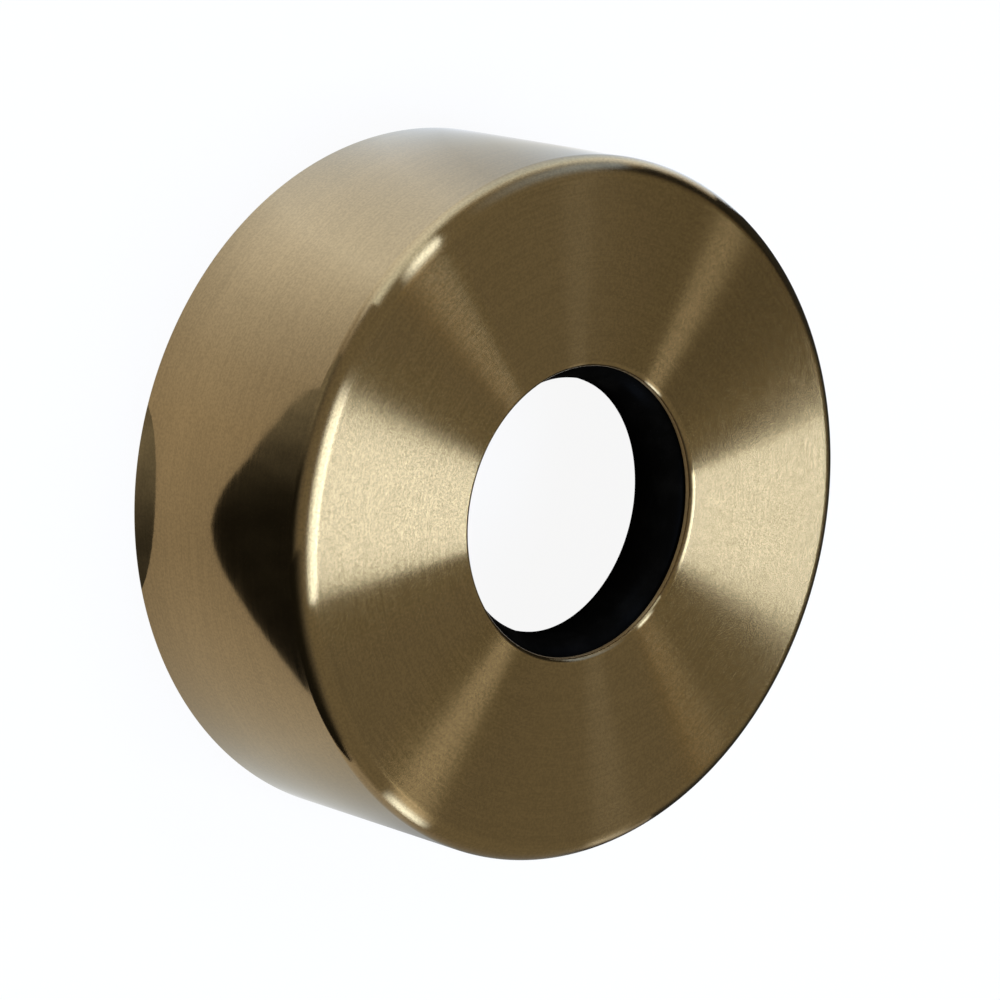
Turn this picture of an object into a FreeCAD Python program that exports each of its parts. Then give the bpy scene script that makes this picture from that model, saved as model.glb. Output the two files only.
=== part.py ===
import FreeCAD, Part

import math
import os

# Pipe rosette: a deep drawn metal cover that slides along a pipe and hides the hole in the wall.
# A rubber ring behind the face grips the pipe, and a pressed collar holds that ring in place.
# Millimetres. The pipe runs along +Z, the back rim lies on z = 0 and the face looks up.

# Pipe that the rosette slides over: the crest of a half inch pipe thread
PIPE_DIAMETER = 20.955

# Cover
COVER_DIAMETER = 52.0
COVER_DEPTH = 19.5
COVER_SHEET = 0.7
COVER_INSIDE_CORNER = 0.8
RIM_EDGE_ROUNDING = 0.12

# Hole in the face
HOLE_CLEARANCE = 0.2725
HOLE_FRONT_ROUNDING = 0.4
HOLE_BACK_ROUNDING = 0.1
LARGEST_EDGE_SHARE = 0.4

# Seal ring
SEAL_SECTION = 6.0
SEAL_GRIP = 0.9775
SEAL_FLATTENING = 0.06
SEAL_LAND_DEPTH = 0.05

# Collar that holds the seal ring against the face
RETAINER_SHEET = 0.6
RETAINER_INSIDE_BEND = 0.4
RETAINER_SEAL_CLEARANCE = 0.25
RETAINER_FLANGE_WIDTH = 4.0

# Sizes that follow from the driving ones
PIPE_RADIUS = PIPE_DIAMETER / 2
COVER_RADIUS = COVER_DIAMETER / 2
HOLE_RADIUS = PIPE_RADIUS + HOLE_CLEARANCE
FACE_BACK = COVER_DEPTH - COVER_SHEET

SEAL_TUBE_RADIUS = SEAL_SECTION / 2
SEAL_INNER_RADIUS = PIPE_RADIUS - SEAL_GRIP
SEAL_CENTRE_RADIUS = SEAL_INNER_RADIUS - SEAL_LAND_DEPTH + SEAL_TUBE_RADIUS
SEAL_OUTER_RADIUS = SEAL_CENTRE_RADIUS + SEAL_TUBE_RADIUS
SEAL_HALF_DEPTH = SEAL_TUBE_RADIUS - SEAL_FLATTENING
SEAL_CENTRE_HEIGHT = FACE_BACK - SEAL_HALF_DEPTH
SEAL_BACK = SEAL_CENTRE_HEIGHT - SEAL_HALF_DEPTH


def point(radius, height):
    """Return a point of a section, which lies in the plane of X and Z."""
    return FreeCAD.Vector(radius, 0, height)


def rounded_section(corners):
    """Return the face inside square corners, each given as radius, height and rounding."""
    edges = []
    last_end = None
    first_start = None
    for index, (radius, height, rounding) in enumerate(corners):
        corner = point(radius, height)
        before = point(*corners[index - 1][:2])
        after = point(*corners[(index + 1) % len(corners)][:2])
        back = (before - corner).normalize()
        ahead = (after - corner).normalize()
        start = corner + back * rounding
        end = corner + ahead * rounding
        if last_end is not None:
            edges.append(Part.LineSegment(last_end, start).toShape())
        else:
            first_start = start
        if rounding > 0:
            middle = corner + (back + ahead) * rounding * (1 - math.sqrt(0.5))
            edges.append(Part.Arc(start, middle, end).toShape())
        last_end = end
    edges.append(Part.LineSegment(last_end, first_start).toShape())
    return Part.Face(Part.Wire(edges))


def turned(section):
    """Return the solid that a section sweeps in one full turn about the pipe's axis."""
    return section.revolve(FreeCAD.Vector(0, 0, 0), FreeCAD.Vector(0, 0, 1), 360)


def edge_rounding(wanted, sheet):
    """Return the rounding of a sheet's edge, which its thickness may limit."""
    return min(wanted, LARGEST_EDGE_SHARE * sheet)


def cover():
    """Return the cup: a flat face with the pipe's hole, a rounded corner and a straight skirt."""
    inside = COVER_RADIUS - COVER_SHEET
    outside_corner = COVER_INSIDE_CORNER + COVER_SHEET
    rim = edge_rounding(RIM_EDGE_ROUNDING, COVER_SHEET)
    hole_front = min(HOLE_FRONT_ROUNDING, COVER_SHEET - edge_rounding(HOLE_BACK_ROUNDING, COVER_SHEET))
    hole_back = edge_rounding(HOLE_BACK_ROUNDING, COVER_SHEET)
    return turned(
        rounded_section(
            [
                (HOLE_RADIUS, COVER_DEPTH, hole_front),
                (COVER_RADIUS, COVER_DEPTH, outside_corner),
                (COVER_RADIUS, 0, rim),
                (inside, 0, rim),
                (inside, FACE_BACK, COVER_INSIDE_CORNER),
                (HOLE_RADIUS, FACE_BACK, hole_back),
            ]
        )
    )


def seal_ring():
    """Return the rubber ring, flattened where it meets the face and the collar, with a narrow inner land."""
    ring = Part.makeTorus(SEAL_CENTRE_RADIUS, SEAL_TUBE_RADIUS, point(0, SEAL_CENTRE_HEIGHT))
    height = FACE_BACK - SEAL_BACK
    space = Part.makeCylinder(SEAL_OUTER_RADIUS + SEAL_TUBE_RADIUS, height, point(0, SEAL_BACK))
    grip = Part.makeCylinder(SEAL_INNER_RADIUS, height, point(0, SEAL_BACK))
    return ring.common(space.cut(grip))


def seal_retainer():
    """Return the collar: a flange on the back of the face, a wall round the seal and a lip behind it."""
    inside = SEAL_OUTER_RADIUS + RETAINER_SEAL_CLEARANCE
    outside = inside + RETAINER_SHEET
    flange_edge = outside + RETAINER_FLANGE_WIDTH
    lip_back = SEAL_BACK - RETAINER_SHEET
    flange_back = FACE_BACK - RETAINER_SHEET
    outside_bend = RETAINER_INSIDE_BEND + RETAINER_SHEET
    return turned(
        rounded_section(
            [
                (flange_edge, FACE_BACK, 0),
                (inside, FACE_BACK, outside_bend),
                (inside, SEAL_BACK, RETAINER_INSIDE_BEND),
                (SEAL_CENTRE_RADIUS, SEAL_BACK, 0),
                (SEAL_CENTRE_RADIUS, lip_back, 0),
                (outside, lip_back, outside_bend),
                (outside, flange_back, RETAINER_INSIDE_BEND),
                (flange_edge, flange_back, 0),
            ]
        )
    )


def main():
    """Write each piece of the rosette to its own file."""
    os.makedirs("parts", exist_ok=True)
    pieces = {
        "cover": cover(),
        "seal_ring": seal_ring(),
        "seal_retainer": seal_retainer(),
    }
    for name, shape in pieces.items():
        shape.exportStep(f"parts/{name}.step")
        print(f"{name}: {shape.Volume:.1f} mm3, valid {shape.isValid()}")


main()
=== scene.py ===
"""Pipe rosette: a deep drawn cover in brushed antique brass, its rubber seal ring and the collar behind.

Every piece is turned about the pipe's axis, so each one is a closed section that is swept round +Z.
Lengths are in metres unless a name says millimetres.
"""

import logging
import math
from dataclasses import dataclass, field
from enum import Enum

import bpy
import numpy as np
from mathutils import Matrix, Vector


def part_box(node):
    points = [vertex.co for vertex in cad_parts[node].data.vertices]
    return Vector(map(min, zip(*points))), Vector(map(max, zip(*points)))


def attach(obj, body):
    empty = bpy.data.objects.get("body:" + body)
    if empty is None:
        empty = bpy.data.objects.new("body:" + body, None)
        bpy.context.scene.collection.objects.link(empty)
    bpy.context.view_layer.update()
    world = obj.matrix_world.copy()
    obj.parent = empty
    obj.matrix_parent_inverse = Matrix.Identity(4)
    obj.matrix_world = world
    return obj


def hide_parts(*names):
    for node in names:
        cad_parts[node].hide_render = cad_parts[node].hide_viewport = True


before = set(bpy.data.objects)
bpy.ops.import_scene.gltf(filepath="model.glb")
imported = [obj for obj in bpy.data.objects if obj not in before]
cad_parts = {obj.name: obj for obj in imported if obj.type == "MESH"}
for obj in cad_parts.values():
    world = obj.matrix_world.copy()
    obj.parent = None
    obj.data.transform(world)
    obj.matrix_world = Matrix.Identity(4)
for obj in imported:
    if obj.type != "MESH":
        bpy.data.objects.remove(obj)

LOG = logging.getLogger("pipe_rosette")
MM = 0.001
MM_PER_METRE = 1000.0
ROOT_BODY = "root"
BOARD_LIFT = 0.0001
SHARP_ANGLE = math.radians(40)

Colour = tuple[float, float, float]
DAYLIGHT: Colour = (0.48, 0.65, 1.0)
ROOM_LIGHT: Colour = (0.425, 0.432, 0.39)


class Slot(Enum):
    """The record's material slots."""

    COVER = "cover_metal"
    SEAL = "seal_rubber"
    RETAINER = "retainer_steel"


class Shading(Enum):
    """How a turned mesh gets its normals."""

    FROM_SECTION = "exact normals of the section"
    BY_ANGLE = "smooth, with edges kept sharp above an angle"


@dataclass(frozen=True)
class Corner:
    """A square corner of a section, in millimetres.

    Attributes:
        radius: Distance from the pipe's axis.
        height: Height above the wall.
        rounding: Radius of the arc that replaces the corner.
        steps: Number of chords on that arc.
        run_steps: Number of parts in the straight run that leads on from the corner.
    """

    radius: float
    height: float
    rounding: float = 0.0
    steps: int = 6
    run_steps: int = 1


@dataclass
class Section:
    """The outline of a turned piece, clockwise, with radius to the right and height upwards.

    Attributes:
        points: Radius and height of each point, in millimetres.
        normals: Outward normal at each point.
    """

    points: list[np.ndarray] = field(default_factory=list)
    normals: list[np.ndarray] = field(default_factory=list)

    def add(self, place: np.ndarray, normal: np.ndarray) -> None:
        """Add a point, unless the outline is already there.

        Args:
            place: The point's radius and height.
            normal: The outward normal there.
        """
        if self.points and np.linalg.norm(self.points[-1] - place) < 1e-6:
            return
        self.points.append(place)
        self.normals.append(normal)

    @classmethod
    def of_corners(cls, corners: list[Corner]) -> "Section":
        """Return the outline through square corners, with their roundings as arcs.

        Args:
            corners: The corners, clockwise.

        Returns:
            The closed outline, whose last point is joined to its first.
        """
        outline = cls()
        for index, corner in enumerate(corners):
            here = np.array([corner.radius, corner.height])
            before = corners[index - 1]
            after = corners[(index + 1) % len(corners)]
            back = unit(np.array([before.radius, before.height]) - here)
            ahead = unit(np.array([after.radius, after.height]) - here)
            if corner.rounding > 0:
                outline.add_arc(here, back, ahead, corner)
            else:
                outline.add(here, unit(left_of(-back) + left_of(ahead)))
            start = here + ahead * corner.rounding
            end = np.array([after.radius, after.height]) - ahead * after.rounding
            for step in range(1, corner.run_steps):
                outline.add(start + (end - start) * step / corner.run_steps, left_of(ahead))
        return outline

    def add_arc(self, here: np.ndarray, back: np.ndarray, ahead: np.ndarray, corner: Corner) -> None:
        """Add the arc that rounds one square corner.

        Args:
            here: The square corner itself.
            back: Direction from the corner to the one before it.
            ahead: Direction from the corner to the next one.
            corner: The corner's rounding and number of chords.
        """
        centre = here + (back + ahead) * corner.rounding
        turns_right = back[0] * ahead[1] - back[1] * ahead[0] > 0
        side = 1.0 if turns_right else -1.0
        for step in range(corner.steps + 1):
            angle = math.pi / 2 * step / corner.steps
            outwards = -(ahead * math.cos(angle) + back * math.sin(angle))
            self.add(centre + outwards * corner.rounding, outwards * side)


def unit(vector: np.ndarray) -> np.ndarray:
    """Return a vector of length one."""
    return vector / np.linalg.norm(vector)


def left_of(direction: np.ndarray) -> np.ndarray:
    """Return the direction a quarter turn to the left."""
    return np.array([-direction[1], direction[0]])


@dataclass
class TurnedPiece:
    """A piece that is a section swept once round the pipe's axis.

    Attributes:
        name: The piece's name.
        node: The solid that it stands for.
        slot: The record's slot for its finish, which is not used.
        steps: Number of steps in the full turn.
        shading: How it gets its normals.
    """

    name: str
    node: str
    slot: Slot
    steps: int = 512
    shading: Shading = Shading.FROM_SECTION

    def section(self) -> Section:
        """Return the piece's outline."""
        raise NotImplementedError

    def shaped(self, places: np.ndarray) -> np.ndarray:
        """Return the vertices after any shaping that isn't turned.

        Args:
            places: Vertices in millimetres, by section point, step of the turn and axis.

        Returns:
            The same array, changed or not.
        """
        return places

    def mesh(self) -> bpy.types.Mesh:
        """Sweep the section round the axis.

        Returns:
            The mesh, with its unwrap and its normals.
        """
        outline = self.section()
        points = np.array(outline.points)
        normals = np.array(outline.normals)
        count = len(points)
        angles = np.arange(self.steps) * (2 * math.pi / self.steps)
        around = np.stack([np.cos(angles), np.sin(angles)], axis=1)

        places = np.empty((count, self.steps, 3))
        places[:, :, :2] = points[:, None, :1] * around[None]
        places[:, :, 2] = points[:, 1:]
        places = self.shaped(places)

        row, step = np.meshgrid(np.arange(count), np.arange(self.steps), indexing="ij")
        next_row = (row + 1) % count
        next_step = (step + 1) % self.steps
        quads = np.stack(
            [
                row * self.steps + step,
                next_row * self.steps + step,
                next_row * self.steps + next_step,
                row * self.steps + next_step,
            ],
            axis=-1,
        ).reshape(-1, 4)

        mesh = bpy.data.meshes.new(self.name)
        mesh.vertices.add(count * self.steps)
        mesh.vertices.foreach_set("co", (places * MM).astype(np.float32).ravel())
        mesh.loops.add(quads.size)
        mesh.loops.foreach_set("vertex_index", quads.astype(np.int32).ravel())
        mesh.polygons.add(len(quads))
        mesh.polygons.foreach_set("loop_start", np.arange(0, quads.size, 4, dtype=np.int32))
        mesh.update(calc_edges=True)
        self.add_unwrap(mesh, points, row, step)
        mesh.validate()
        if self.shading is Shading.FROM_SECTION:
            spread = np.empty((count, self.steps, 3))
            spread[:, :, :2] = normals[:, None, :1] * around[None]
            spread[:, :, 2] = normals[:, 1:]
            mesh.normals_split_custom_set_from_vertices(spread.reshape(-1, 3).tolist())
        else:
            mesh.shade_smooth()
            mesh.set_sharp_from_angle(angle=SHARP_ANGLE)
        return mesh

    def add_unwrap(
        self, mesh: bpy.types.Mesh, points: np.ndarray, row: np.ndarray, step: np.ndarray
    ) -> None:
        """Lay the turn along U and the section's length along V.

        Args:
            mesh: The turned mesh.
            points: The section's points.
            row: Section point of each face.
            step: Step of the turn of each face.
        """
        closed = np.vstack([points, points[:1]])
        lengths = np.concatenate([[0.0], np.cumsum(np.linalg.norm(np.diff(closed, axis=0), axis=1))])
        lengths /= lengths[-1]
        u_start = step / self.steps
        u_end = (step + 1) / self.steps
        v_start = lengths[row]
        v_end = lengths[row + 1]
        corners = np.stack(
            [
                np.stack([u_start, v_start], axis=-1),
                np.stack([u_start, v_end], axis=-1),
                np.stack([u_end, v_end], axis=-1),
                np.stack([u_end, v_start], axis=-1),
            ],
            axis=-2,
        )
        layer = mesh.uv_layers.new(name="turned")
        layer.uv.foreach_set("vector", corners.astype(np.float32).ravel())

    def dress(self, material: bpy.types.Material) -> bpy.types.Object:
        """Make the piece, give it its finish and set it in the frame.

        Args:
            material: The finish.

        Returns:
            The piece's object.
        """
        mesh = self.mesh()
        mesh.materials.append(material)
        piece = bpy.data.objects.new(self.name, mesh)
        bpy.context.scene.collection.objects.link(piece)
        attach(piece, ROOT_BODY)
        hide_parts(self.node)
        LOG.info("%s: %d faces in %s", self.name, len(mesh.polygons), material.name)
        return piece


@dataclass
class Cover(TurnedPiece):
    """The drawn cover, in millimetres: a flat face with the pipe's hole, a rounded corner and a skirt.

    Attributes:
        sheet: Thickness of the sheet.
        inside_corner: Radius inside the drawn corner.
        rim_edge: Rounding of the back rim's two edges.
        hole_radius: Radius of the hole in the face.
        hole_front: Rounding of the hole's front edge.
        hole_back: Rounding of the hole's back edge.
    """

    name: str = "cover_shell"
    node: str = "cover"
    slot: Slot = Slot.COVER
    sheet: float = 0.7
    inside_corner: float = 0.8
    rim_edge: float = 0.12
    hole_radius: float = 10.75
    hole_front: float = 0.4
    hole_back: float = 0.1

    @property
    def radius(self) -> float:
        """Return the outside radius of the skirt, which the solid gives."""
        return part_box(self.node)[1].x * MM_PER_METRE

    @property
    def depth(self) -> float:
        """Return the height of the face above the wall, which the solid gives."""
        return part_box(self.node)[1].z * MM_PER_METRE

    @property
    def outside_corner(self) -> float:
        """Return the radius outside the drawn corner."""
        return self.inside_corner + self.sheet

    def section(self) -> Section:
        """Draw the sheet: face, corner, skirt, rim, inside and hole.

        Returns:
            The outline.
        """
        inside = self.radius - self.sheet
        face_back = self.depth - self.sheet
        return Section.of_corners(
            [
                Corner(self.hole_radius, self.depth, self.hole_front, steps=12, run_steps=12),
                Corner(self.radius, self.depth, self.outside_corner, steps=28, run_steps=14),
                Corner(self.radius, 0.0, self.rim_edge, steps=5),
                Corner(inside, 0.0, self.rim_edge, steps=5, run_steps=12),
                Corner(inside, face_back, self.inside_corner, steps=12, run_steps=10),
                Corner(self.hole_radius, face_back, self.hole_back, steps=4),
            ]
        )


@dataclass
class SealRing(TurnedPiece):
    """The rubber ring, in millimetres: a round section, flattened front and back, with a narrow inner land.

    Attributes:
        section_radius: Radius of the rubber's round section.
        land: Depth by which the inner land cuts the round section.
        chords: Number of chords round the section.
    """

    name: str = "seal_ring_rubber"
    node: str = "seal_ring"
    slot: Slot = Slot.SEAL
    steps: int = 384
    section_radius: float = 3.0
    land: float = 0.05
    chords: int = 96

    def section(self) -> Section:
        """Draw the round section, held between the planes of the face and the collar's lip.

        Returns:
            The outline.
        """
        lowest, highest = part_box(self.node)
        half_depth = (highest.z - lowest.z) / 2 * MM_PER_METRE
        centre_height = (highest.z + lowest.z) / 2 * MM_PER_METRE
        centre_radius = highest.x * MM_PER_METRE - self.section_radius
        inner_radius = centre_radius - self.section_radius + self.land
        outline = Section()
        for chord in range(self.chords):
            angle = math.pi - 2 * math.pi * chord / self.chords
            normal = np.array([math.cos(angle), math.sin(angle)])
            place = np.array([centre_radius, centre_height]) + normal * self.section_radius
            place[0] = max(place[0], inner_radius)
            place[1] = min(max(place[1], centre_height - half_depth), centre_height + half_depth)
            outline.add(place, normal)
        return outline


@dataclass
class SealRetainer(TurnedPiece):
    """The pressed collar, in millimetres: a flange on the face's back, a wall round the seal and a lip.

    Attributes:
        sheet: Thickness of the sheet.
        inside_bend: Radius inside each bend.
        inside: Radius inside the wall.
        lip_radius: Radius of the opening in the lip.
        welds: Number of spot welds round the flange.
        weld_radius: Radius of the dimple that each weld leaves.
        weld_depth: Depth of that dimple.
    """

    name: str = "seal_collar"
    node: str = "seal_retainer"
    slot: Slot = Slot.RETAINER
    shading: Shading = Shading.BY_ANGLE
    sheet: float = 0.6
    inside_bend: float = 0.4
    inside: float = 15.7
    lip_radius: float = 12.45
    welds: int = 6
    weld_radius: float = 1.15
    weld_depth: float = 0.16

    @property
    def flange_edge(self) -> float:
        """Return the radius of the flange's edge, which the solid gives."""
        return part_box(self.node)[1].x * MM_PER_METRE

    @property
    def weld_circle(self) -> float:
        """Return the radius of the circle that the welds stand on, in the middle of the flange."""
        return (self.inside + self.sheet + self.flange_edge) / 2

    def section(self) -> Section:
        """Draw the sheet: edge and back of the flange, outside, lip and inside.

        Returns:
            The outline.
        """
        lowest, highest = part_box(self.node)
        front = highest.z * MM_PER_METRE
        lip_back = lowest.z * MM_PER_METRE
        flange_back = front - self.sheet
        seal_back = lip_back + self.sheet
        outside = self.inside + self.sheet
        outside_bend = self.inside_bend + self.sheet
        return Section.of_corners(
            [
                Corner(self.flange_edge, front),
                Corner(self.flange_edge, flange_back, run_steps=22),
                Corner(outside, flange_back, self.inside_bend, steps=8, run_steps=4),
                Corner(outside, lip_back, outside_bend, steps=10, run_steps=4),
                Corner(self.lip_radius, lip_back),
                Corner(self.lip_radius, seal_back, run_steps=4),
                Corner(self.inside, seal_back, self.inside_bend, steps=8, run_steps=4),
                Corner(self.inside, front, outside_bend, steps=10, run_steps=4),
            ]
        )

    def shaped(self, places: np.ndarray) -> np.ndarray:
        """Press the weld dimples into the flange's back.

        Args:
            places: Vertices in millimetres, by section point, step of the turn and axis.

        Returns:
            The same array, with the dimples.
        """
        flange_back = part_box(self.node)[1].z * MM_PER_METRE - self.sheet
        on_back = np.abs(places[..., 2] - flange_back) < 1e-3
        for weld in range(self.welds):
            angle = 2 * math.pi * (weld + 0.5) / self.welds
            away = np.hypot(
                places[..., 0] - self.weld_circle * math.cos(angle),
                places[..., 1] - self.weld_circle * math.sin(angle),
            )
            inward = np.clip(1 - away / self.weld_radius, 0, 1)
            dimple = inward * inward * (3 - 2 * inward)
            places[..., 2] += np.where(on_back, dimple * self.weld_depth, 0.0)
        return places


Socket = bpy.types.NodeSocket
NodeInput = float | int | tuple | Socket


class Graph:
    """Adds and links the nodes of one material or node group."""

    def __init__(self, tree: bpy.types.NodeTree) -> None:
        """Empty the tree and keep it."""
        self.tree = tree
        tree.nodes.clear()

    def add(self, kind: str, inputs: dict | None = None, **settings: object) -> bpy.types.Node:
        """Add a node.

        Args:
            kind: The node's type.
            inputs: What each input, by number or name, is set or linked to.
            **settings: The node's own properties.

        Returns:
            The new node.
        """
        node = self.tree.nodes.new(kind)
        for key, value in settings.items():
            setattr(node, key, value)
        for key, value in (inputs or {}).items():
            if isinstance(value, Socket):
                self.tree.links.new(value, node.inputs[key])
            else:
                node.inputs[key].default_value = value
        return node

    def math(self, operation: str, first: NodeInput, second: NodeInput = 0.0) -> Socket:
        """Return the result of a Math node on two values."""
        return self.add("ShaderNodeMath", {0: first, 1: second}, operation=operation).outputs[0]

    def vector(self, x: NodeInput, y: NodeInput, z: NodeInput) -> Socket:
        """Return a vector made of three values."""
        return self.add("ShaderNodeCombineXYZ", {0: x, 1: y, 2: z}).outputs[0]

    def vector_math(self, operation: str, first: NodeInput, second: NodeInput = (0.0, 0.0, 0.0)) -> Socket:
        """Return the vector result of a Vector Math node on two vectors."""
        return self.add("ShaderNodeVectorMath", {0: first, 1: second}, operation=operation).outputs[0]

    def scaled(self, vector: NodeInput, factor: NodeInput) -> Socket:
        """Return a vector times a number."""
        return self.add("ShaderNodeVectorMath", {0: vector, "Scale": factor}, operation="SCALE").outputs[0]

    def length(self, vector: NodeInput) -> Socket:
        """Return the length of a vector."""
        return self.add("ShaderNodeVectorMath", {0: vector}, operation="LENGTH").outputs["Value"]

    def place(self) -> Socket:
        """Return the place on the object, in metres."""
        return self.add("ShaderNodeTexCoord").outputs["Object"]

    def parts(self, vector: NodeInput) -> bpy.types.bpy_prop_collection:
        """Return the three values of a vector."""
        return self.add("ShaderNodeSeparateXYZ", {0: vector}).outputs

    def layer(self, name: str) -> Socket:
        """Return the number that a mesh's layer holds."""
        return self.add("ShaderNodeAttribute", attribute_name=name).outputs["Fac"]

    def ramp_even(self, value: NodeInput) -> Socket:
        """Return a value from 0 to 1 carried to the range from -1 to 1."""
        inputs = {0: value, 1: 2.0, 2: -1.0}
        return self.add("ShaderNodeMath", inputs, operation="MULTIPLY_ADD").outputs[0]

    def blend(self, share: NodeInput, first: NodeInput, second: NodeInput) -> Socket:
        """Return a mix of two numbers."""
        inputs = {"Factor": share, 2: first, 3: second}
        return self.add("ShaderNodeMix", inputs, data_type="FLOAT").outputs[0]

    def ramp(
        self, value: NodeInput, low: float, high: float, to_low: float = 0.0, to_high: float = 1.0
    ) -> Socket:
        """Carry a value smoothly from one range to another, held at its ends.

        Args:
            value: The value.
            low: Where the first range starts.
            high: Where it ends.
            to_low: Where the second range starts.
            to_high: Where it ends.

        Returns:
            The value in the second range.
        """
        node = self.add(
            "ShaderNodeMapRange",
            {"Value": value, "From Min": low, "From Max": high, "To Min": to_low, "To Max": to_high},
            interpolation_type="SMOOTHSTEP",
        )
        return node.outputs["Result"]

    def mix(self, share: NodeInput, first: NodeInput, second: NodeInput) -> Socket:
        """Mix two colours.

        Args:
            share: Share of the second one.
            first: The first colour.
            second: The second colour.

        Returns:
            The mixed colour.
        """
        node = self.add("ShaderNodeMix", {"Factor": share}, data_type="RGBA", clamp_factor=True)
        for socket, value in ((node.inputs[6], first), (node.inputs[7], second)):
            if isinstance(value, Socket):
                self.tree.links.new(value, socket)
            else:
                socket.default_value = (*value, 1.0)
        return node.outputs[2]

    def noise(
        self, place: NodeInput, scale: NodeInput, detail: float = 2.0, roughness: float = 0.5
    ) -> Socket:
        """Add a cloudy noise.

        Args:
            place: Where it is read.
            scale: Number of clouds to a unit of length.
            detail: Number of finer layers in it.
            roughness: Strength of those layers.

        Returns:
            A value between 0 and 1.
        """
        node = self.add(
            "ShaderNodeTexNoise",
            {"Vector": place, "Scale": scale, "Detail": detail, "Roughness": roughness},
            noise_dimensions="3D",
        )
        return node.outputs["Fac"]

    def glow(self, colour: NodeInput, strength: NodeInput) -> bpy.types.Node:
        """Return a shader that gives light."""
        paint = (*colour, 1.0) if isinstance(colour, tuple) else colour
        return self.add("ShaderNodeEmission", {"Color": paint, "Strength": strength})

    def blend_shaders(
        self, share: NodeInput, first: bpy.types.Node, second: bpy.types.Node
    ) -> bpy.types.Node:
        """Return a mix of two shaders."""
        inputs = {0: share, 1: first.outputs[0], 2: second.outputs[0]}
        return self.add("ShaderNodeMixShader", inputs)

    def show(self, shader: bpy.types.Node) -> None:
        """Show a shader as the material's surface."""
        self.add("ShaderNodeOutputMaterial", {"Surface": shader.outputs[0]})


def new_finish(name: str) -> tuple[bpy.types.Material, Graph]:
    """Return a new material and the graph of its nodes.

    Args:
        name: The material's name.

    Returns:
        The material and its empty graph.
    """
    made = bpy.data.materials.new(name)
    made.use_nodes = True
    return made, Graph(made.node_tree)


def new_group(name: str, inputs: dict, outputs: dict) -> tuple[bpy.types.NodeTree, Graph]:
    """Return a new node group with its sockets, and its empty graph.

    Args:
        name: The group's name.
        inputs: Each input's name, with its default number.
        outputs: Each output's name, with its type, Float or Vector.

    Returns:
        The group and its graph.
    """
    tree = bpy.data.node_groups.new(name, "ShaderNodeTree")
    for socket_name, value in inputs.items():
        socket = tree.interface.new_socket(name=socket_name, in_out="INPUT", socket_type="NodeSocketFloat")
        socket.default_value = value
    for socket_name, kind in outputs.items():
        tree.interface.new_socket(name=socket_name, in_out="OUTPUT", socket_type="NodeSocket" + kind)
    return tree, Graph(tree)


@dataclass(frozen=True)
class ConcentricBrushing:
    """The marks of a pad held against a turning piece: fine scratches that run round the axis.

    A scratch tilts the surface across its own direction only. The finest scratches are far narrower
    than the eye resolves, so their tilts are spread evenly at random, and wider ones add soft streaks.

    Attributes:
        name: The group's name.
    """

    name: str = "concentric brushing"

    def group(self) -> bpy.types.NodeTree:
        """Return the group, which is made on its first use.

        Returns:
            A group with the inputs Slope, Streak Slope, Streak Width and Arcs Round, and the outputs
            Normal and Tone. Slopes are rise over run, the width is in millimetres.
        """
        made = bpy.data.node_groups.get(self.name)
        if made is not None:
            return made
        tree, graph = new_group(
            self.name,
            {"Slope": 0.1, "Streak Slope": 0.02, "Streak Width": 0.1, "Arcs Round": 3.0},
            {"Tone": "Float", "Normal": "Vector"},
        )
        given = graph.add("NodeGroupInput").outputs
        place = graph.place()
        parts = graph.parts(place)
        level = graph.vector(parts[0], parts[1], 0.0)
        radius = graph.length(level)
        outwards = graph.vector_math("NORMALIZE", level)
        across = graph.math("MULTIPLY", graph.math("SUBTRACT", radius, parts[2]), MM_PER_METRE)

        turned = graph.scaled(outwards, given["Arcs Round"])
        turned_parts = graph.parts(turned)
        line = graph.math("DIVIDE", across, given["Streak Width"])
        along = graph.vector(line, turned_parts[0], turned_parts[1])
        streaks = graph.noise(along, 1.0, detail=3.0, roughness=0.6)
        white_noise = graph.add("ShaderNodeTexWhiteNoise", {"Vector": place}, noise_dimensions="3D")
        finest = white_noise.outputs["Value"]

        fine_slope = graph.math("MULTIPLY", graph.ramp_even(finest), given["Slope"])
        streak_slope = graph.math("MULTIPLY", graph.ramp_even(streaks), given["Streak Slope"])
        slope = graph.math("ADD", fine_slope, streak_slope)
        normal = graph.add("ShaderNodeNewGeometry").outputs["Normal"]
        scratch = graph.vector_math("CROSS_PRODUCT", (0.0, 0.0, 1.0), outwards)
        over = graph.vector_math("CROSS_PRODUCT", scratch, normal)
        tilted = graph.vector_math("ADD", normal, graph.scaled(over, slope))
        graph.add("NodeGroupOutput", {"Tone": streaks, "Normal": graph.vector_math("NORMALIZE", tilted)})
        return tree


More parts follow.
